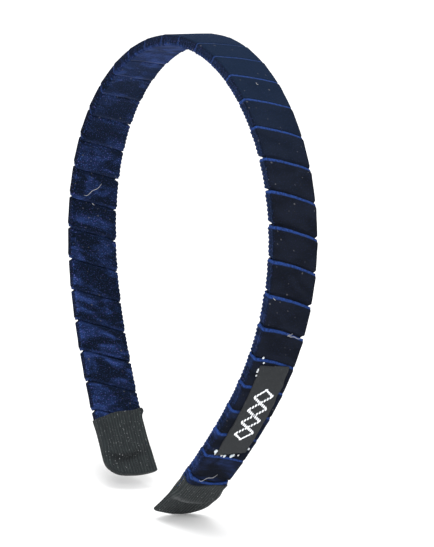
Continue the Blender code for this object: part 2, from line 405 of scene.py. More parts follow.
def make_velvet():
    """Navy cut-pile velvet ribbon."""
    shine = {
        "Sheen Weight": 0.08, "Sheen Roughness": 0.40, "Sheen Tint": (0.10, 0.22, 0.62, 1.0),
        "Specular IOR Level": 0.045,
    }
    material, board, shader = new_finish("navy_velvet", shine)
    flat, length, across = flat_map(board)
    inner, edge = attribute(board, "inner_side"), attribute(board, "edge_side")
    arm = length * PITCH_SHARE + CROSSING
    crush = board.noise(board.vector(length * 0.7, across * 1.3, 0.0), 150.0, 2.0, 0.5, 0.6)
    drag = board.noise(board.vector(length * 0.35, across, 3.0), 420.0, 2.0, 0.6, 0.4)
    fibre = board.noise(flat, 5200.0, 1.0, 0.5)
    # Noise for the painted glints and their hue.
    glint_noise = board.noise(board.vector(length, across, 7.0), 2600.0, 1.0)
    glint_hue = board.noise(board.vector(length, across, 11.0), 1100.0, 1.0)
    grain = board.noise(flat, 1500.0, 2.0)
    crushed = board.step(crush + drag * 0.2 + grain * 0.15, 0.60, 0.88)
    # Painted shade: shaded darkens a stretch of the inner face. Painted light: lit brightens the inner
    # face near the crown.
    shaded = board.step(arm * -1.0, 0.046, 0.056) * board.step(arm, -0.098, -0.078)
    near_crown = board.step(arm, -0.050, -0.036) * board.step(arm, 0.060, 0.010)
    lit = near_crown * (grain * 0.8 + 0.1)
    low = board.step(arm, 0.125, 0.160)
    # pressed is the crushed patches of the inner face plus the painted light of lit and the painted shade
    # of shaded.
    pressed = (inner * (crushed * (1.0 - shaded * 0.5) + lit) + crushed * low * 0.35).clamped()
    # Painted highlight: the lobes over the core's teeth are lit up, most past the crown, and so are the
    # rims of the lower right arm.
    past_crown = board.step(arm, -0.010, 0.030) * 0.6 + 0.1
    painted_tooth_highlight = board.step(attribute(board, "tooth"), 0.35, 0.9) * past_crown
    painted_edge_highlight = edge * board.step(arm, 0.080, 0.115) * crushed * 0.4 + painted_tooth_highlight
    deep = board.step(crush, 0.3, 0.7)
    deep = board.mix(deep, (0.0040, 0.0052, 0.0088, 1), (0.0066, 0.0086, 0.0150, 1))
    # Painted light: the ribbon near the crown is drawn a lighter teal.
    painted_crown_light = board.step(arm.maths("ABSOLUTE"), 0.070, 0.010) * (grain * 0.5 + 0.5)
    deep = board.mix(painted_crown_light, deep, (0.0066, 0.0160, 0.0390, 1))
    # Painted shade: the inner face is drawn a darker navy. The rims on the outer side are drawn a darker,
    # bluer navy.
    deep = board.mix(inner, deep, (0.0014, 0.0036, 0.0090, 1))
    deep = board.mix(edge * (1.0 - inner), deep, (0.0020, 0.0036, 0.0085, 1))
    bright = board.step(drag, 0.35, 0.7)
    bright = board.mix(bright, (0.007, 0.016, 0.058, 1), (0.019, 0.040, 0.145, 1))
    pile = board.mix((pressed + painted_edge_highlight).clamped(), deep, bright)
    # Painted highlight: small glints where stray pile tips would catch the light, most on the crushed
    # inner face.
    painted_glints = board.step(glint_noise, 0.58, 0.70) * (inner * (crushed * 0.5 + 0.25) + edge * 0.25 + 0.05)
    glint_colour = board.step(glint_hue, 0.45, 0.62)
    glint_colour = board.mix(glint_colour, (0.050, 0.110, 0.330, 1), (0.120, 0.105, 0.370, 1))
    pile = board.mix(painted_glints.clamped(), pile, glint_colour)
    lint = board.step(board.noise(flat, 900.0, 0.0), 0.79, 0.82)
    pile = board.mix(lint * 0.5, pile, (0.10, 0.10, 0.11, 1))
    rim = -RIBBON_WIDTH / 2 + SELVEDGE_WIDTH
    round_band = attribute(board, "round_band")
    near = board.step(round_band, 0.1, -0.9)
    selvedge = board.step(across - near * 0.0001, rim + 0.0003, rim - 0.0002)
    thread = board.add("ShaderNodeTexWave", {"wave_type": "BANDS", "bands_direction": "X"}, {
        "Vector": flat, "Scale": 700.0, "Distortion": 1.5, "Detail": 1.0})
    woven = board.mix(thread, (0.006, 0.022, 0.115, 1), (0.022, 0.062, 0.240, 1))
    frayed = board.step(board.noise(flat, 1500.0, 2.0), 0.36, 0.56) * 0.55 + 0.4
    # Painted shade: the bright woven edge is dimmed on the inner face, near the crown and over part of
    # each turn.
    painted_edge_dimming = board.step(round_band, 0.1, 1.0) * 0.15 + board.step(arm, 0.034, 0.012) * 0.45
    woven_share = (selvedge * frayed * (1.0 - inner * 0.85) * (1.0 - painted_edge_dimming)).clamped()
    colour = board.mix(woven_share, pile, woven)
    relief = fibre * 0.5 + crush * (inner * 0.9 + 0.04) + drag * 0.6 * inner + thread * 0.4 * selvedge
    bump = raise_surface(board, relief, 0.0004, 0.55)
    facing = tip_along_cloth(board, bump, (1.0 - woven_share) * PILE_LEAN)
    connect(board, shader, Base_Color=colour, Normal=facing, Roughness=0.92 - selvedge * 0.35)
    return material


VELVET = make_velvet()
print("velvet has", len(VELVET.node_tree.nodes), "nodes")

# %% [markdown]
# ## The ribbon
# One ribbon, about 1.3 metres long, is wound from the left tip to the right. Each turn starts on top
# of the turn before it, so the edge that faces the left tip always shows, and the other edge
# dips under the next turn, where its pile is pressed thin. The cut is a flat strip. The tree reads
# how many turns round the core a point is, and lays it on a flat-sided section. The core's teeth
# press through at the inner corners, and the cloth is pulled a little unevenly.

# %% Wind the ribbon
PILE_THICKNESS = 0.00065
PRESSED_SHARE = 0.45
LAYER_GAP = 0.00004
LAP_WIDTH = 0.003
DIP_LENGTH = 0.0008
TIGHT_SHIFT = 0.0007
LOOSE_SHIFT = 0.0004
LEFT_REACH = 0.1718
RIGHT_REACH = 0.1797
TUCK_START = 0.1765
TUCK_SHARE = 0.8
PITCH_AT_CROWN = 0.010024
PITCH_GROWTH = 0.00001
CROSSING_AT_FRONT_EDGE = 0.0129
TURN_LENGTH = 0.0365
EDGE_WINDOW = 0.075
EDGE_ROWS = 11
FACE_ROWS = 10
ACROSS_STEPS = 50
CORE_WIDENING = 0.0004
CORE_REACH = 0.184
EDGE_SPREAD = 1.10
PULL_MIDDLE = -2.0
PULL_SPAN = 8.0
LAST_TURN = 15
LAST_BOW = 0.0030
WINDING = {
    "Turn Length": TURN_LENGTH, "Pitch": PITCH_AT_CROWN, "Pitch Growth": PITCH_GROWTH,
    "Core Half Width": 0.0066, "Core Half Thickness": CORE_HALF_THICKNESS, "Corner Radius": 0.0008,
    "Tooth Pitch": 0.0014, "Tooth Press": 0.0003, "Seam Bow": 0.0007, "Crown Pull": 0.0019,
    "Crush": 0.0002,
}


def ribbon_section():
    """The ribbon's own section: a fine top, round rims and a coarse underside."""
    half, thick = RIBBON_WIDTH / 2, PILE_THICKNESS
    top = [(-half + RIBBON_WIDTH * i / ACROSS_STEPS, thick) for i in range(1, ACROSS_STEPS)]
    under = [(half - RIBBON_WIDTH * i / 5, 0.0) for i in range(1, 5)]
    rim = (0.12, 0.5, 0.88)
    far = [(half, thick * share) for share in reversed(rim)]
    near = [(-half, thick * share) for share in rim]
    return top + far + under + near


def turns_from(reach):
    """How many turns from the crown's crossing the ribbon's middle is at a distance along."""
    goal = reach - CROSSING_AT_FRONT_EDGE - RIBBON_WIDTH / 2
    return 2 * goal / (PITCH_AT_CROWN + math.sqrt(PITCH_AT_CROWN ** 2 + 4 * PITCH_GROWTH * goal))


def turn_rows(first, last):
    """Stops along the ribbon in turns: close together round the edges, wider over the faces."""
    stops = []
    for half_turn in range(math.floor(2 * first), math.ceil(2 * last) + 1):
        edge = half_turn / 2
        stops += [edge - EDGE_WINDOW + 2 * EDGE_WINDOW * i / EDGE_ROWS for i in range(EDGE_ROWS)]
        face = 0.5 - 2 * EDGE_WINDOW
        stops += [edge + EDGE_WINDOW + face * i / FACE_ROWS for i in range(FACE_ROWS)]
    return [first] + [stop for stop in stops if first < stop < last] + [last]


def above_zero(value):
    """What a number or a wire has above zero."""
    return value.maths("MAXIMUM", 0.0) if isinstance(value, Wire) else max(0.0, value)


def right_mouth(p, side):
    """Where the right wrap begins: curved on the outside, where side is 1, and slanted inside."""
    back, fore = above_zero((p + 0.25) * -1.0 / 0.75), above_zero((p - 0.3) / 0.7)
    curved = 0.1718 - back * back * 0.0025 + fore * fore * 0.0012
    slanted = p * 0.0016 + 0.1702
    return slanted + (curved - slanted) * (side + 1.0) * 0.5


def left_slant(p):
    """The line on which the left wrap begins; p goes from -1 at the front to 1 at the back."""
    return 0.1661 - p * 0.0013


def wind_tree():
    """Lays a flat strip round the core as a lapped helix, a little flatter inside the wraps."""
    board, given = open_tree("wind_round_core", ("Middle Line", "Finish", *WINDING))
    spot = board.split(board.add("GeometryNodeInputPosition"))
    across_ribbon, lift = spot, spot.output("Z")
    turn = spot.output("Y") / given["Turn Length"]
    phase = turn.maths("FRACT")
    side = (0.5 - phase).maths("SIGN")
    swing = 1.0 - (phase - 0.5).maths("ABSOLUTE") * 4.0
    reach = swing.maths("ABSOLUTE")
    wander = board.noise(board.vector(turn * 0.9, 0.0, 0.0), 1.0, 1.0) * 0.0008 - 0.0004
    from_pull = (turn - PULL_MIDDLE) / PULL_SPAN
    pull = (from_pull * from_pull * -1.0).maths("EXPONENT") * given["Crown Pull"]
    ripple = board.noise(board.vector(turn * 7.0, across_ribbon * 40.0, 5.0), 1.0, 1.0)
    ripple = ripple * 0.0005 - 0.00025
    start_edge = board.step(across_ribbon, -0.002, -RIBBON_WIDTH / 2)
    last_turn = board.step(turn, LAST_TURN - 0.02, LAST_TURN + 0.02)
    bow = (swing * swing - 1.0) * (side + 1.0) * 0.5 * (given["Seam Bow"] - last_turn * LAST_BOW)
    middle = turn * given["Pitch"] + turn * turn * given["Pitch Growth"] + wander - pull
    crossing = CROSSING_AT_FRONT_EDGE + RIBBON_WIDTH / 2
    along = middle + across_ribbon + bow + ripple * start_edge + crossing
    past_tuck = above_zero(along.maths("ABSOLUTE") - TUCK_START)
    along = along - along.maths("SIGN") * past_tuck * TUCK_SHARE
    arm = middle + crossing
    tight = board.step(arm, 0.105, 0.118) + board.step(arm.maths("ABSOLUTE"), 0.050, 0.035)
    loose = board.step(arm, -0.055, -0.075)
    cover = RIBBON_WIDTH / 2 - LAP_WIDTH
    from_cover = across_ribbon - tight * TIGHT_SHIFT + loose * LOOSE_SHIFT
    covered = board.step(from_cover, cover - DIP_LENGTH, cover)
    rim = -RIBBON_WIDTH / 2 + SELVEDGE_WIDTH
    selvedge = board.step(across_ribbon, rim + 0.0005, rim - 0.0002)
    pressed = PILE_THICKNESS * PRESSED_SHARE
    pucker = board.noise(board.vector(turn * 5.0, 9.0, 0.0), 1.0, 1.0) * 0.00022
    pile = lift * (1.0 - covered * (1.0 - PRESSED_SHARE)) * (1.0 - selvedge * 0.25)
    height = LAYER_GAP + (1.0 - covered) * (LAYER_GAP + pressed) + start_edge * pucker + pile
    p = (swing * 1.15).maths("MAXIMUM", -1.0).maths("MINIMUM", 1.0)
    held = board.step(along - right_mouth(p, side), 0.0002, 0.004)
    held = held + board.step(along * -1.0 - left_slant(p), 0.0002, 0.004)
    height = height * (1.0 - held * 0.3)
    half_thick = height + given["Core Half Thickness"]
    widening = along.maths("ABSOLUTE") * (CORE_WIDENING / CORE_REACH)
    half_wide = height * EDGE_SPREAD + widening + given["Core Half Width"]
    radius = given["Corner Radius"]
    flat = half_wide - radius
    upright = half_thick - radius
    bend_length = radius * (math.pi / 2)
    way = reach * (flat + bend_length + upright)
    angle = above_zero((way - flat) / radius).maths("MINIMUM", math.pi / 2)
    down_edge = above_zero(way - flat - bend_length)
    across = way.maths("MINIMUM", flat) + radius * angle.maths("SINE")
    out = (upright - down_edge + radius * angle.maths("COSINE")) * side
    inner = board.step(side * -1.0 * angle.maths("COSINE"), -0.15, 0.55)
    on_edge = board.step(angle, 0.3, 1.4)
    at_corner = board.step(way - flat, -0.0004, 0.0005) * board.step(down_edge, 0.0009, 0.0003)
    corner = at_corner * board.step(side, 0.5, -0.5)
    lobe = (along * math.pi / given["Tooth Pitch"]).maths("SINE").maths("ABSOLUTE")
    tooth = lobe * corner * (1.0 - covered)
    cloth = board.vector(spot.output("Y"), across_ribbon, 0.0)
    crush = board.noise(cloth, 230.0, 2.0, 0.5, 0.8) - 0.5
    firmness = board.step(arm, 0.080, 0.115) * 0.5 - loose * 0.3 + 1.0
    swell = tooth * firmness * given["Tooth Press"] + crush * given["Crush"] * (inner * 0.8 + 0.2)
    across = across + swell * angle.maths("SINE")
    across = across * swing.maths("SIGN")
    out = out + swell * angle.maths("COSINE") * side
    kept = store(board, given["Geometry"], "inner_side", inner)
    kept = store(board, kept, "edge_side", on_edge)
    kept = store(board, kept, "tooth", tooth)
    kept = store(board, kept, "round_band", swing)
    position = on_arch(board, given["Middle Line"], along, across, out)
    moved = board.add("GeometryNodeSetPosition", None, {"Geometry": kept, "Position": position})
    return close_tree(board, moved, given["Finish"])


def make_ribbon():
    """Cut the flat ribbon and wind it."""
    first, last = turns_from(-LEFT_REACH), turns_from(RIGHT_REACH)
    rows = [TURN_LENGTH * stop for stop in turn_rows(first, last)]
    cut = flat_strip("velvet_cut", rows, ribbon_section())
    values = {"Middle Line": LINE, "Finish": VELVET, **WINDING}
    ribbon = run_tree("wound_velvet_ribbon", cut, wind_tree(), values)
    fit(ribbon, "velvet_ribbon")
    length = rows[-1] - rows[0]
    print("ribbon cut:", round(length, 3), "m long,", round(last - first, 1), "turns")


make_ribbon()

# %% [markdown]
# ## Grosgrain tip wraps
# Each tip is closed with a wrap of dark grosgrain, a corded ribbon whose cords here run along the
# arm. The cloth covers the ribbon's last turn, and past the end of the core it is pinched flat, so
# the core's end shows as a crease. The wrap is one closed skin: it runs in from the pocket's
# bottom to the mouth and back out over the tip. A tree then raises the cords, because they
# repeat at one pitch all the way round.

# %% Grosgrain finish
CORD_PITCH = 0.00098


def make_grosgrain():
    """Charcoal grosgrain with a faint green cast and fine cross threads."""
    shine = {"Sheen Weight": 0.05, "Sheen Roughness": 0.5, "Specular IOR Level": 0.15}
    material, board, shader = new_finish("charcoal_grosgrain", shine)
    flat, length, round_way = flat_map(board)
    cord = (round_way * (2 * math.pi / CORD_PITCH)).maths("COSINE") * 0.5 + 0.5
    weft = (length * (2 * math.pi / 0.00030) + cord * 1.2).maths("SINE") * 0.5 + 0.5
    patch = board.noise(flat, 210.0, 3.0, 0.6, 0.3)
    worn = board.noise(board.vector(length * 0.4, round_way * 1.6, 2.0), 900.0, 2.0)
    # Noise for the painted glints on the cords, also used in the bump.
    cord_glint_noise = board.noise(flat, 2300.0, 0.0)
    # The cords are lighter on their crests and darker between them: partly the thread's green cast,
    # partly a painted highlight on the crests and painted shade between the cords.
    dark = board.mix(patch, (0.007, 0.009, 0.011, 1), (0.013, 0.016, 0.018, 1))
    light = board.mix(patch, (0.025, 0.030, 0.031, 1), (0.042, 0.060, 0.056, 1))
    share = cord * (weft * 0.35 + 0.3) * (board.step(worn, 0.34, 0.66) * 0.9 + 0.2)
    colour = board.mix(share.clamped(), dark, light)
    # Painted shade darkens the left wrap's crease, and a painted highlight lightens the right wrap's
    # crease.
    crease_painted_shade_highlight = attribute(board, "crease_painted_shade_highlight")
    colour = board.mix((crease_painted_shade_highlight * -0.75).clamped(), colour, (0.003, 0.004, 0.005, 1))
    colour = board.mix((crease_painted_shade_highlight * (worn * 0.7 + 0.3)).clamped(), colour, (0.10, 0.105, 0.11, 1))
    # Painted highlight: small glints along the cord crests.
    painted_cord_glints = board.step(cord_glint_noise, 0.71, 0.80) * (cord * 0.8 + 0.1)
    colour = board.mix(painted_cord_glints, colour, (0.24, 0.25, 0.26, 1))
    relief = weft * cord * 0.7 + worn * 0.5 + cord_glint_noise * 0.3
    bump = raise_surface(board, relief, 0.00012, 0.8)
    connect(board, shader, Base_Color=colour, Normal=bump, Roughness=0.72 + patch * 0.2)
    return material


GROSGRAIN = make_grosgrain()
print("grosgrain has", len(GROSGRAIN.node_tree.nodes), "nodes")

# %% Shape the wraps
WRAP_HALF_WIDTH = 0.0082
WRAP_HALF_THICKNESS = 0.00172
WRAP_CLOTH = 0.00035
WRAP_CORNER = 0.0010
MOUTH_FLARE = 0.0002
FLARE_LENGTH = 0.004
PINCH_LENGTH = 0.0018
EDGE_PINCH = 0.0045
PINCH_SPREAD = 0.75
CORE_END = 0.180
WRAP_ROUND_STEPS = 288
WRAP_ROWS = 66
POCKET_ROWS = 5
CORD_HEIGHT = 0.00009


def round_section(share):
    """(across, out) shares of the wrap's section, and the way round it, from its front edge."""
    upright, bend = WRAP_HALF_THICKNESS - WRAP_CORNER, WRAP_CORNER * math.pi / 2
    flat = WRAP_HALF_WIDTH - WRAP_CORNER
    quarter = upright + bend + flat
    way = share * 4 * quarter
    from_edge = way % (2 * quarter)
    to_back = from_edge > quarter
    spot = 2 * quarter - from_edge if to_back else from_edge
    turned = min(max((spot - upright) / WRAP_CORNER, 0.0), math.pi / 2)
    across = flat + WRAP_CORNER * math.cos(turned) - max(0.0, spot - upright - bend)
    out = min(spot, upright) + WRAP_CORNER * math.sin(turned)
    outside = way < 2 * quarter
    p = (1 if to_back == outside else -1) * across / WRAP_HALF_WIDTH
    return p, (1 if outside else -1) * out / WRAP_HALF_THICKNESS, way


def rise(value, low, high):
    """0 below low, 1 above high, and a smooth climb between them."""
    share = min(max((value - low) / (high - low), 0.0), 1.0)
    return share * share * (3 - 2 * share)


def hump(distance, width):
    """A bell curve: 1 at no distance, near 0 from twice the width on."""
    return math.exp(-((distance / width) ** 2))


def right_end(p):
    """The right wrap's tip: a sharp front corner and a wide round back one."""
    if p > 0.35:
        return 0.1935 - 0.0062 * (1 - math.sqrt(max(0.0, 1 - ((p - 0.35) / 0.65) ** 2)))
    return 0.1935 - 0.0046 * ((0.35 - p) / 1.35) ** 1.6


def right_crease(p):
    """Where the right wrap is pinched past the core's rounded end."""
    return 0.1829 - 0.0034 * (max(0.0, 0.75 - p) / 1.43) ** 2


def left_mouth(p, q):
    return left_slant(p) + 0.0003 * math.sin(4 * p + q)


def left_end(p):
    """The left wrap's tip: a round front corner and a sharp back one."""
    corner = 0.0038 * (1 - math.sqrt(max(0.0, 1 - (min(0.0, p + 0.42) / 0.58) ** 2)))
    return 0.1865 - 0.0010 * ((p - 0.1) / 0.9) ** 2 - corner


def left_crease(p):
    return 0.1806 - 0.0030 * (p + 0.3) ** 2


# Columns: name, side, mouth, end, crease, curl, spread, pinched half thickness, and the sign of the
# painted mark at the crease: -1 for painted shade, 1 for a painted highlight.
WRAPS = (
    ("left", -1, left_mouth, left_end, left_crease, 0.0009, 0.0001, 0.0009, -1.0),
    ("right", 1, right_mouth, right_end, right_crease, 0.0001, 0.0013, 0.00052, 1.0),
)


def wrap_point(wrap, share, row, inset):
    """A point of a wrap's skin; row runs from 0 at the mouth to 1 at the tip."""
    _, side, mouth, end, crease, curl, spread, pinched, _ = wrap
    p, q, way = round_section(share)
    begin = mouth(p, q)
    along = begin + (end(p) - begin) * row
    seed = Vector((way * 300.0, along * 300.0, 3.0 * side))
    soft = EDGE_PINCH * rise(abs(p), 0.55, 1.0)
    wavy = along + noise.noise(seed) * 0.0006
    pinch = rise(wavy, crease(p) - soft, crease(p) + PINCH_LENGTH + soft / 2)
    flare = MOUTH_FLARE * (1 - rise(along - begin, 0.0002, FLARE_LENGTH))
    thick = WRAP_HALF_THICKNESS + flare + (pinched - WRAP_HALF_THICKNESS) * pinch
    ridge = hump(along - crease(p), 0.0009) * 0.00022 * (1 - rise(abs(p), 0.5, 0.9))
    crumple = noise.noise(seed * 0.7) * 0.00014 * rise(along, begin, begin + 0.004)
    curled = curl * hump(along - begin - 0.0009, 0.0011) * rise(p, 0.86, 1.0)
    spread_flat = (WRAP_HALF_THICKNESS - pinched) * PINCH_SPREAD * pinch
    widened = spread * max(0.0, p) ** 2 * rise(along - begin, 0.0005, 0.008)
    across = p * (WRAP_HALF_WIDTH + flare + spread_flat - inset) + curled + widened
    out = q * (thick + ridge + crumple - inset)
    # The strength of the painted crease mark, just past the crease and on one face of the wrap; the sign
    # in WRAPS makes it painted shade on the left and a painted highlight on the right.
    crease_painted_shade_highlight = hump(along - crease(p) - 0.0004, 0.0012) * (1 - rise(abs(p + 0.2), 0.45, 0.85))
    shown = rise(q * side, -0.2, 0.6)
    return place(side * along, across, out), way, along, crease_painted_shade_highlight * shown


def wrap_rows():
    """(row, inset) of each ring: up the inside of the pocket, then down the outside."""
    deep = (CORE_END + 0.0004 - 0.168) / (0.188 - 0.168)
    rows = [(deep * (POCKET_ROWS - i) / POCKET_ROWS, WRAP_CLOTH) for i in range(POCKET_ROWS)]
    rows += [(0.0, WRAP_CLOTH), (-0.006, WRAP_CLOTH / 2)]
    return rows + [(i / WRAP_ROWS, 0.0) for i in range(WRAP_ROWS + 1)]


def wrap_skin(wrap):
    """The wrap as one closed mesh, with its flat map and the cords' strength on its points."""
    size = WRAP_ROUND_STEPS
    points, flat, strength, crease_painted_shade_highlights = [], [], [], []
    for row, inset in wrap_rows():
        for k in range(size):
            spot, way, along, crease_painted_shade_highlight = wrap_point(wrap, k / size, row, inset)
            points.append(spot)
            flat.append((along, way))
            strength.append(0.0 if inset else rise(1.0 - row, 0.0, 0.03))
            # Signed strength of the painted crease shade and highlight.
            crease_painted_shade_highlights.append(crease_painted_shade_highlight * wrap[-1])
    faces = []
    for r in range(len(points) // size - 1):
        for k in range(size):
            a, b = r * size + k, r * size + (k + 1) % size
            faces.append((a, b, b + size, a + size))
    for first in (0, len(points) - size):
        for k in range(size // 2):
            ends = [first + k, first + k + 1, first + (size - k - 1) % size, first + (size - k) % size]
            faces.append(list(dict.fromkeys(ends if first else reversed(ends))))
    mesh = bpy.data.meshes.new("wrap_skin")
    mesh.from_pydata(points, [], faces)
    turn_outward(mesh)
    layer = mesh.uv_layers.new(name="flat")
    for loop in mesh.loops:
        layer.data[loop.index].uv = flat[loop.vertex_index]
    ways = [way for _, way in flat]
    for name, values in (("cord_strength", strength), ("way_round", ways), ("crease_painted_shade_highlight", crease_painted_shade_highlights)):
        mesh.attributes.new(name, "FLOAT", "POINT").data.foreach_set("value", values)
    mesh.shade_smooth()
    return add_object("wrap_skin", mesh)


def turn_outward(mesh):
    """Point every face of a closed mesh away from its inside."""
    shape = bmesh.new()
    shape.from_mesh(mesh)
    bmesh.ops.recalc_face_normals(shape, faces=shape.faces)
    shape.to_mesh(mesh)
    shape.free()


def closed_loft(name, lofts, material):
    """One piece of closed solids, each through a row of rings with equal numbers of points."""
    points, faces = [], []
    for rings in lofts:
        size, first = len(rings[0]), len(points)
        points += [point for ring in rings for point in ring]
        for r in range(len(rings) - 1):
            for k in range(size):
                a, b = first + r * size + k, first + r * size + (k + 1) % size
                faces.append((a, b, b + size, a + size))
        faces.append(tuple(reversed(range(first, first + size))))
        faces.append(tuple(range(len(points) - size, len(points))))
    mesh = bpy.data.meshes.new(name)
    mesh.from_pydata(points, [], faces)
    turn_outward(mesh)
    mesh.shade_smooth()
    mesh.materials.append(material)
    return add_object(name, mesh)


def cord_tree():
    """Raises the grosgrain's cords along the surface normal."""
    board, given = open_tree("raise_cords", ("Finish", "Pitch", "Height"))
    named = "GeometryNodeInputNamedAttribute"
    way = board.add(named, {"data_type": "FLOAT"}, {"Name": "way_round"}, "Attribute")
    strength = board.add(named, {"data_type": "FLOAT"}, {"Name": "cord_strength"}, "Attribute")
    wave = (way * (2 * math.pi) / given["Pitch"]).maths("COSINE")
    amount = wave * strength * given["Height"]
    sockets = {"Vector": board.add("GeometryNodeInputNormal"), "Scale": amount}
    offset = board.add("ShaderNodeVectorMath", {"operation": "SCALE"}, sockets)
    sockets = {"Geometry": given["Geometry"], "Offset": offset}
    moved = board.add("GeometryNodeSetPosition", None, sockets)
    return close_tree(board, moved, given["Finish"])


def make_wraps():
    """Both tip wraps."""
    tree = cord_tree()
    values = {"Finish": GROSGRAIN, "Pitch": CORD_PITCH, "Height": CORD_HEIGHT}
    for wrap in WRAPS:
        piece = run_tree(f"{wrap[0]}_grosgrain_wrap", wrap_skin(wrap), tree, values)
        fit(piece, f"{wrap[0]}_end_wrap")


make_wraps()

# %% [markdown]
# ## What lies inside the wraps
# Hot glue holds each wrap to the core's bare end. It is never seen, but it is there in the finished
# piece, so it gets a small cup round the end of the core, and the moulded core gets the fine grain
# of its mould. Both are closed shapes like the rest.

# %% Glue and core finishes
def make_hot_glue():
    """Clear-white glue that set in beads and strings."""
    shine = {"IOR": 1.48, "Subsurface Weight": 0.25, "Specular IOR Level": 0.5}
    material, board, shader = new_finish("hot_glue", shine)
    place_at = board.add("ShaderNodeTexCoord", None, (), "Object")
    cloud = board.noise(place_at, 900.0, 2.0)
    strings = board.noise(place_at, 2600.0, 2.0, 0.6, 1.5)
    colour = board.mix(cloud, (0.50, 0.50, 0.50, 1), (0.82, 0.83, 0.84, 1))
    bump = raise_surface(board, cloud + strings * 0.4, 0.0002, 0.4)
    connect(board, shader, Base_Color=colour, Normal=bump, Roughness=strings * 0.35 + 0.12)
    return material


def make_core_plastic():
    """Black moulded plastic with a fine grain and a faint mottle."""
    material, board, shader = new_finish("core_plastic", {"Specular IOR Level": 0.4})
    place_at = board.add("ShaderNodeTexCoord", None, (), "Object")
    grain = board.noise(place_at, 6000.0, 2.0)
    rub = board.noise(place_at, 300.0, 3.0)
    colour = board.mix(rub, (0.012, 0.012, 0.014, 1), (0.030, 0.030, 0.034, 1))
    bump = raise_surface(board, grain, 0.00005, 0.5)
    connect(board, shader, Base_Color=colour, Normal=bump, Roughness=rub * 0.25 + 0.35)
    return material


HOT_GLUE = make_hot_glue()
CORE_PLASTIC = make_core_plastic()


def give_finish(node, material):
    """Put a finish on a CAD part that keeps its own shape."""
    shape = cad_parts[node].data
    shape.materials.clear()
    shape.materials.append(material)


give_finish("core_band", CORE_PLASTIC)
print("glue and core finishes made")

# %% Glue plugs
PLUG_START = 0.1788
PLUG_END = 0.1803
PLUG_HALF_WIDTH = 0.0066
PLUG_HALF_THICKNESS = 0.0008
PLUG_ROUNDING = 0.0012
PLUG_ROUND_STEPS = 48
PLUG_ROWS = 6
CORE_END_LENGTH = 0.004
CORE_END_NARROWING = 0.0025
CORE_CLEARANCE = 0.0001


def core_half_width(along):
    """Half the core's width near its rounded end."""
    into_end = min(max(0.0, along - (CORE_END - CORE_END_LENGTH)) / CORE_END_LENGTH, 1.0)
    widened = CAD_CORE_HALF_WIDTH + CORE_WIDENING
    return widened - CORE_END_NARROWING * (1 - math.sqrt(1 - into_end ** 2))


def section_ring(side, along, half_width, half_thickness):
    """One ring with the wrap's section at a given size."""
    ring = []
    for k in range(PLUG_ROUND_STEPS):
        p, q, _ = round_section(k / PLUG_ROUND_STEPS)
        ring.append(place(side * along, p * half_width, q * half_thickness))
    return ring


def make_plug(name, side):
    """A cup of glue round the end of the core, inside the wrap."""
    stops = [PLUG_START + (CORE_END - PLUG_START) * i / PLUG_ROWS for i in range(PLUG_ROWS + 1)]
    rings = []
    for along in reversed(stops):
        hollow = core_half_width(along) + CORE_CLEARANCE
        rings.append(section_ring(side, along, hollow, CORE_HALF_THICKNESS + CORE_CLEARANCE))
    for along in [*stops, PLUG_END]:
        drawn_in = PLUG_ROUNDING * ((along - PLUG_START) / (PLUG_END - PLUG_START)) ** 2
        rings.append(section_ring(side, along, PLUG_HALF_WIDTH - drawn_in, PLUG_HALF_THICKNESS))
    plug = closed_loft(f"{name}_glue_plug", [rings], HOT_GLUE)
    fit(plug, f"{name}_wrap_glue")


for name, side in (("left", -1), ("right", 1)):
    make_plug(name, side)

# %% [markdown]
# ## Label
# A strip of woven black tape is glued on the outside of the right arm. The cut is a flat plate
# with slightly uneven ends, and a tree lays it on the arch and lets it ripple over the turns of
# ribbon below. A chain of small diamonds is stitched on it in white thread. The stitches follow
# two zigzags, so a tree cuts those lines to stitch lengths and sets one thread along each.

# %% Label finishes
def make_label_cloth():
    """Black woven tape with a fine satin rib."""
    shine = {"Sheen Weight": 0.03, "Specular IOR Level": 0.10}
    material, board, shader = new_finish("label_cloth", shine)
    flat, length, across = flat_map(board)
    warp = (across * (2 * math.pi / 0.00022)).maths("SINE")
    weft = (length * (2 * math.pi / 0.00030) + warp * 0.8).maths("SINE")
    worn = board.noise(flat, 420.0, 3.0, 0.6)
    fluff = board.noise(flat, 3400.0, 0.0)
    dark = board.mix(worn, (0.011, 0.013, 0.015, 1), (0.020, 0.022, 0.025, 1))
    colour = board.mix((weft * 0.3 + 0.3) * worn, dark, (0.036, 0.039, 0.043, 1))
    colour = board.mix(board.step(fluff, 0.76, 0.84) * 0.5, colour, (0.16, 0.16, 0.17, 1))
    bump = raise_surface(board, weft * 0.5 + warp * 0.5 + worn, 0.00006, 0.8)
    connect(board, shader, Base_Color=colour, Normal=bump, Roughness=worn * 0.2 + 0.62)
    return material


def make_white_thread():
    """Soft white embroidery thread with a twist."""
    material, board, shader = new_finish("white_thread", {"Sheen Weight": 0.2, "Specular IOR Level": 0.3})
    place_at = board.add("ShaderNodeTexCoord", None, (), "Object")
    twist = board.noise(place_at, 4200.0, 1.0, 0.5, 1.0)
    soil = board.noise(place_at, 700.0, 2.0)
    colour = board.mix(twist * soil, (0.88, 0.90, 0.93, 1), (0.55, 0.58, 0.63, 1))
    bump = raise_surface(board, twist, 0.00006, 0.7)
    connect(board, shader, Base_Color=colour, Normal=bump, Roughness=soil * 0.2 + 0.6)
    return material


LABEL_CLOTH = make_label_cloth()
WHITE_THREAD = make_white_thread()
print("label finishes made")

# %% Lay flat pieces on the arch
LAY_INPUTS = ("Middle Line", "Finish", "Height", "Ripple", "Ripple Length")


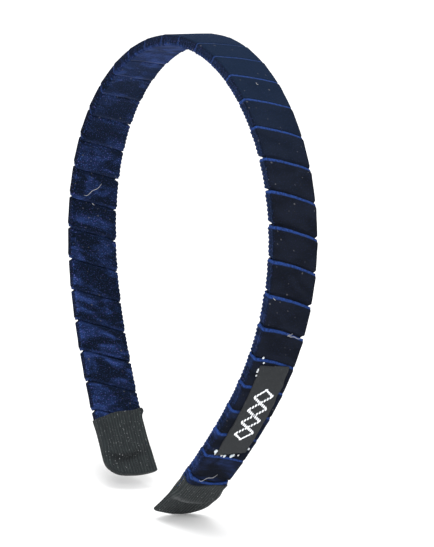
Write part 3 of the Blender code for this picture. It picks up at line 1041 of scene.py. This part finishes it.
def lay(board, given, geometry):
    """Lays flat points on the arch: x runs across the band, y along it and z out from it."""
    spot = board.split(board.add("GeometryNodeInputPosition"))
    along = spot.output("Y")
    swell = board.noise(board.vector(spot, along / given["Ripple Length"], 0.0), 1.0, 1.0) - 0.5
    out = spot.output("Z") + given["Height"] + swell * given["Ripple"]
    position = on_arch(board, given["Middle Line"], along, spot, out)
    return board.add("GeometryNodeSetPosition", None, {"Geometry": geometry, "Position": position})


def lay_tree():
    """The tree that lays a flat cut and does nothing else."""
    board, given = open_tree("lay_on_arch", LAY_INPUTS)
    return close_tree(board, lay(board, given, given["Geometry"]), given["Finish"])


LAY_ON_ARCH = lay_tree()
RIBBON_TOP = CORE_HALF_THICKNESS + 2 * LAYER_GAP + PILE_THICKNESS * (1 + PRESSED_SHARE)
LABEL_NEAR_END = 0.1172
LABEL_FAR_END = 0.1547
LABEL_FRONT = -0.0051
LABEL_BACK = 0.0055
LABEL_SKEW = 0.08
LABEL_LIFT = 0.00022
LAYING = {
    "Middle Line": LINE, "Height": RIBBON_TOP + LABEL_LIFT, "Ripple": 0.00022, "Ripple Length": 0.0052,
}


def flat_plate(name, margin, thickness):
    """The label's outline less a margin, as a closed flat plate with slightly uneven ends."""
    front, back = LABEL_FRONT + margin, LABEL_BACK - margin
    near_end, far_end = LABEL_NEAR_END + margin, LABEL_FAR_END - margin
    columns, rows, fray = 24, 72, 0.0004
    points, faces = [], []
    for layer in (0, 1):
        for r in range(rows + 1):
            for c in range(columns + 1):
                across = front + (back - front) * c / columns
                middle = (front + back) / 2
                along = near_end + (far_end - near_end) * r / rows
                end_share = abs(2 * r / rows - 1) ** 12
                end_seed = Vector((across * 900, r // (rows // 2 + 1), 1.0))
                along += noise.noise(end_seed) * fray * end_share
                along += (across - middle) * LABEL_SKEW * (1 - 2 * r / rows)
                side_share = abs(2 * c / columns - 1) ** 8
                side_seed = Vector((along * 260, c // (columns // 2 + 1), 5.0))
                across += noise.noise(side_seed) * fray * side_share
                points.append((across, along, layer * thickness))
    row, sheet = columns + 1, (columns + 1) * (rows + 1)
    for r in range(rows):
        for c in range(columns):
            a = r * row + c
            faces.append((a, a + row, a + row + 1, a + 1))
            faces.append((a + sheet, a + sheet + 1, a + sheet + row + 1, a + sheet + row))
    rim = [*range(row)] + [r * row + columns for r in range(1, rows + 1)]
    rim += [rows * row + c for c in reversed(range(columns))]
    rim += [r * row for r in reversed(range(1, rows))]
    for a, b in zip(rim, rim[1:] + rim[:1]):
        faces.append((a, b, b + sheet, a + sheet))
    mesh = bpy.data.meshes.new(name)
    mesh.from_pydata(points, [], faces)
    turn_outward(mesh)
    layer = mesh.uv_layers.new(name="flat")
    for loop in mesh.loops:
        x, y, z = points[loop.vertex_index]
        layer.data[loop.index].uv = (y, x)
    mesh.shade_smooth()
    mesh.set_sharp_from_angle(angle=math.radians(50))
    return add_object(name, mesh)


LABEL_THICKNESS = 0.00035
FILM_THICKNESS = 0.00012
FILM_MARGIN = 0.0003


def make_label():
    """The tape label and the film of glue under it."""
    cut = flat_plate("tape_cut", 0.0, LABEL_THICKNESS)
    tape = run_tree("tape_label", cut, LAY_ON_ARCH, {**LAYING, "Finish": LABEL_CLOTH})
    fit(tape, "label")
    height = RIBBON_TOP + LABEL_LIFT - FILM_THICKNESS - LAYER_GAP
    cut = flat_plate("film_cut", FILM_MARGIN, FILM_THICKNESS)
    values = {**LAYING, "Finish": HOT_GLUE, "Height": height}
    fit(run_tree("label_glue_film", cut, LAY_ON_ARCH, values), "label_glue")


make_label()

# %% Stitched diamonds
CHAIN_START = 0.1262
CHAIN_END = 0.1474
CHAIN_MIDDLE = 0.0004
CHAIN_HALF_HEIGHT = 0.0033
DIAMONDS = 4
STITCH_LENGTH = 0.00098
THREAD_RADIUS = 0.00031


def diamond_lines():
    """Two zigzags that cross to make a chain of diamonds, as bare edges."""
    points, edges = [], []
    for sign in (1, -1):
        first = len(points)
        for i in range(2 * DIAMONDS + 1):
            along = CHAIN_START + (CHAIN_END - CHAIN_START) * i / (2 * DIAMONDS)
            across = CHAIN_MIDDLE + sign * CHAIN_HALF_HEIGHT * (i % 2)
            points.append((across, along, 0.0))
        edges += [(first + i, first + i + 1) for i in range(2 * DIAMONDS)]
    mesh = bpy.data.meshes.new("diamond_lines")
    mesh.from_pydata(points, edges, [])
    return add_object("diamond_lines", mesh)


def stitch_tree():
    """Sets a short rounded thread along each stitch length of the lines, and lays them down."""
    board, given = open_tree("stitch_lines", (*LAY_INPUTS, "Stitch Length", "Thread Radius"))
    curves = board.add("GeometryNodeMeshToCurve", None, {"Mesh": given["Geometry"]})
    half = given["Stitch Length"] * 0.5
    sockets = {"Curve": curves, "Length": given["Stitch Length"]}
    spaced = board.add("GeometryNodeCurveToPoints", {"mode": "LENGTH"}, sockets)
    thread = board.add("GeometryNodeMeshUVSphere", None, {"Segments": 10, "Rings": 8, "Radius": 1.0})
    radius = given["Thread Radius"]
    shaped = board.add("GeometryNodeTransform", None, {
        "Geometry": thread, "Scale": board.vector(radius, radius * 0.75, half * 1.25)})
    turned = board.add("GeometryNodeInstanceOnPoints", None, {
        "Points": spaced, "Instance": shaped, "Rotation": spaced.output("Rotation")})
    real = board.add("GeometryNodeRealizeInstances", None, {"Geometry": turned})
    sockets = {"Geometry": lay(board, given, real), "Shade Smooth": True}
    smooth = board.add("GeometryNodeSetShadeSmooth", None, sockets)
    return close_tree(board, smooth, given["Finish"])


def make_stitching():
    """The chain of diamonds on the label."""
    stitching = run_tree("stitched_diamonds", diamond_lines(), stitch_tree(), {
        **LAYING, "Finish": WHITE_THREAD, "Height": RIBBON_TOP + LABEL_LIFT + LABEL_THICKNESS,
        "Stitch Length": STITCH_LENGTH, "Thread Radius": THREAD_RADIUS,
    })
    fit(stitching)


make_stitching()

# %% [markdown]
# ## Glue beads and lint
# Glue squeezed out at the label's corners and set in small beads, and pale fibres have caught in
# the pile. The beads are laid by the same tree as the label, and the fibres are set on the arch
# straight from its middle line. The beads are a few flattened balls, and each fibre is a thin tube
# on a curly path.

# %% Beads and fibres
BEADS = (
    (0.1159, -0.0042, 0.00028), (0.1183, -0.0052, 0.00040), (0.1190, -0.0054, 0.00032),
    (0.1205, -0.0052, 0.00028), (0.1535, -0.0053, 0.00056), (0.1545, -0.0050, 0.00042),
    (0.1556, -0.0024, 0.00036), (0.1560, -0.0012, 0.00046), (0.1563, 0.0014, 0.00050),
    (0.1559, 0.0020, 0.00040), (0.1560, 0.0038, 0.00026), (0.1531, 0.0061, 0.00034),
    (0.1140, -0.0050, 0.00032),
)
BEAD_STRETCH = 1.35
BEAD_FLATTENING = 0.6


def make_beads():
    """Beads of glue round the label's ends."""
    shape = bmesh.new()
    for along, across, radius in BEADS:
        made = bmesh.ops.create_icosphere(shape, subdivisions=3, radius=radius)
        for vertex in made["verts"]:
            lump = 1 + 0.35 * noise.noise(vertex.co * 2500 + Vector((along * 999, 0, 0)))
            x, y, z = vertex.co * lump
            vertex.co = (across + x, along + y * BEAD_STRETCH, z * BEAD_FLATTENING)
    mesh = bpy.data.meshes.new("bead_shapes")
    shape.to_mesh(mesh)
    shape.free()
    mesh.shade_smooth()
    values = {**LAYING, "Finish": HOT_GLUE, "Ripple": 0.0, "Ripple Length": 1.0}
    fit(run_tree("glue_beads", add_object("bead_shapes", mesh), LAY_ON_ARCH, values))


make_beads()

# %% Lint fibres
FIBRES = (
    (0.1062, 0.0012, 0.1076, 0.0064, 0.0005),
    (0.1683, -0.0042, 0.1657, 0.0010, 0.0010),
    (0.1060, 0.0028, 0.1066, 0.0012, 0.0003),
    (-0.0962, -0.0044, -0.0926, 0.0014, -0.0008),
    (-0.0990, -0.0014, -0.0996, -0.0006, 0.0002),
    (0.0260, -0.0006, 0.0268, -0.0002, 0.0002),
    (0.0942, -0.0066, 0.0948, -0.0058, 0.0002),
)
FIBRE_RADIUS = 0.00009
FIBRE_STEPS = 22
FIBRE_SIDES = 6
FIBRE_LIFT = 0.0002


def make_lint_finish():
    """Pale cotton fibre."""
    material, board, shader = new_finish("pale_lint", {"Sheen Weight": 0.3, "Specular IOR Level": 0.2})
    place_at = board.add("ShaderNodeTexCoord", None, (), "Object")
    wear = board.noise(place_at, 1500.0, 2.0)
    colour = board.mix(wear, (0.16, 0.17, 0.20, 1), (0.42, 0.42, 0.43, 1))
    bump = raise_surface(board, board.noise(place_at, 6000.0, 1.0), 0.00003, 0.5)
    connect(board, shader, Base_Color=colour, Normal=bump, Roughness=wear * 0.2 + 0.7)
    return material


def fibre_rings(start_along, start_across, end_along, end_across, bend):
    """Rings round a fibre that wanders from one spot on the band to another."""
    face = 1 if start_along > 0 else -1
    top = RIBBON_TOP + FIBRE_LIFT
    path = []
    for i in range(FIBRE_STEPS + 1):
        share = i / FIBRE_STEPS
        swing = bend * math.sin(math.pi * share) + bend * 0.4 * math.sin(3 * math.pi * share)
        along = start_along + (end_along - start_along) * share + swing
        across = start_across + (end_across - start_across) * share
        lift = 0.00012 * math.sin(9 * share)
        path.append(place(along, across, face * (top + lift)))
    rings = []
    for i, middle in enumerate(path):
        ahead = path[min(i + 1, FIBRE_STEPS)] - path[max(i - 1, 0)]
        level = ahead.cross(Vector((0.3, 0.5, 0.8))).normalized()
        upright = ahead.cross(level).normalized()
        radius = FIBRE_RADIUS * (0.55 + 0.45 * math.sin(math.pi * i / FIBRE_STEPS))
        turns = [2 * math.pi * k / FIBRE_SIDES for k in range(FIBRE_SIDES)]
        rings.append([middle + (level * math.cos(t) + upright * math.sin(t)) * radius for t in turns])
    return rings


def make_lint():
    """Loose fibres caught in the pile, joined as one piece."""
    lofts = [fibre_rings(*fibre) for fibre in FIBRES]
    fit(closed_loft("lint_fibres", lofts, make_lint_finish()))


make_lint()

# %% [markdown]
# ## Camera, floor and light
# A pale floor and large soft lights show dark velvet best. The camera is far off with a long lens,
# in front of the band on its right, a little above it.

# %% Stage
VIEW_AZIMUTH = math.radians(56.83)
VIEW_ELEVATION = math.radians(15.10)
VIEW_ROLL = math.radians(7.374)
VIEW_DISTANCE = 2.9038
VIEW_LENS = 795.4
VIEW_TARGET = Vector((0.0173, 0.0, CROWN_HEIGHT - 0.0667))


def direction(azimuth, elevation):
    """The way from the band to a viewer or a light."""
    level = math.cos(elevation)
    return Vector((math.sin(azimuth) * level, -math.cos(azimuth) * level, math.sin(elevation)))


def make_camera():
    """A long lens in front of the right arm."""
    back = direction(VIEW_AZIMUTH, VIEW_ELEVATION)
    level = Vector((math.cos(VIEW_AZIMUTH), math.sin(VIEW_AZIMUTH), 0.0))
    upright = back.cross(level)
    right = level * math.cos(VIEW_ROLL) + upright * math.sin(VIEW_ROLL)
    up = back.cross(right)
    data = bpy.data.cameras.new("camera")
    data.sensor_fit = "HORIZONTAL"
    data.lens = VIEW_LENS
    data.clip_end = 100.0
    camera = add_object("camera", data)
    turned = Matrix((right, up, back)).transposed().to_4x4()
    camera.matrix_world = Matrix.Translation(VIEW_TARGET + back * VIEW_DISTANCE) @ turned
    bpy.context.scene.camera = camera


def make_floor():
    """A wide pale floor."""
    bpy.ops.mesh.primitive_plane_add(size=60.0, location=(0.0, 0.0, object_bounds()[0][2]))
    floor = bpy.context.object
    floor.name = "floor"
    material, board, shader = new_finish("pale_floor", {"Roughness": 0.9, "Specular IOR Level": 0.1})
    shader.inputs["Base Color"].default_value = (0.93, 0.93, 0.93, 1.0)
    floor.data.materials.append(material)


def add_light(name, azimuth, elevation, distance, size, power):
    """A square soft light that faces the middle of the band."""
    data = bpy.data.lights.new(name, "AREA")
    data.size = size
    data.energy = power
    light = add_object(name, data)
    away = direction(math.radians(azimuth), math.radians(elevation))
    light.location = Vector((0.0, 0.0, 0.07)) + away * distance
    light.rotation_euler = away.to_track_quat("Z", "Y").to_euler()


def make_sky():
    """Even white light from all round."""
    world = bpy.data.worlds.new("studio")
    world.use_nodes = True
    background = world.node_tree.nodes["Background"]
    background.inputs["Color"].default_value = (1.0, 1.0, 1.0, 1.0)
    background.inputs["Strength"].default_value = 1.0
    bpy.context.scene.world = world


bpy.context.scene.view_settings.view_transform = "Standard"
make_camera()
make_floor()
make_sky()
add_light("key_light", 50.0, 25.0, 1.2, 0.6, 9.0)
add_light("top_light", 20.0, 80.0, 1.2, 0.9, 8.0)

# %% Remove the helper line
bpy.data.objects.remove(LINE)
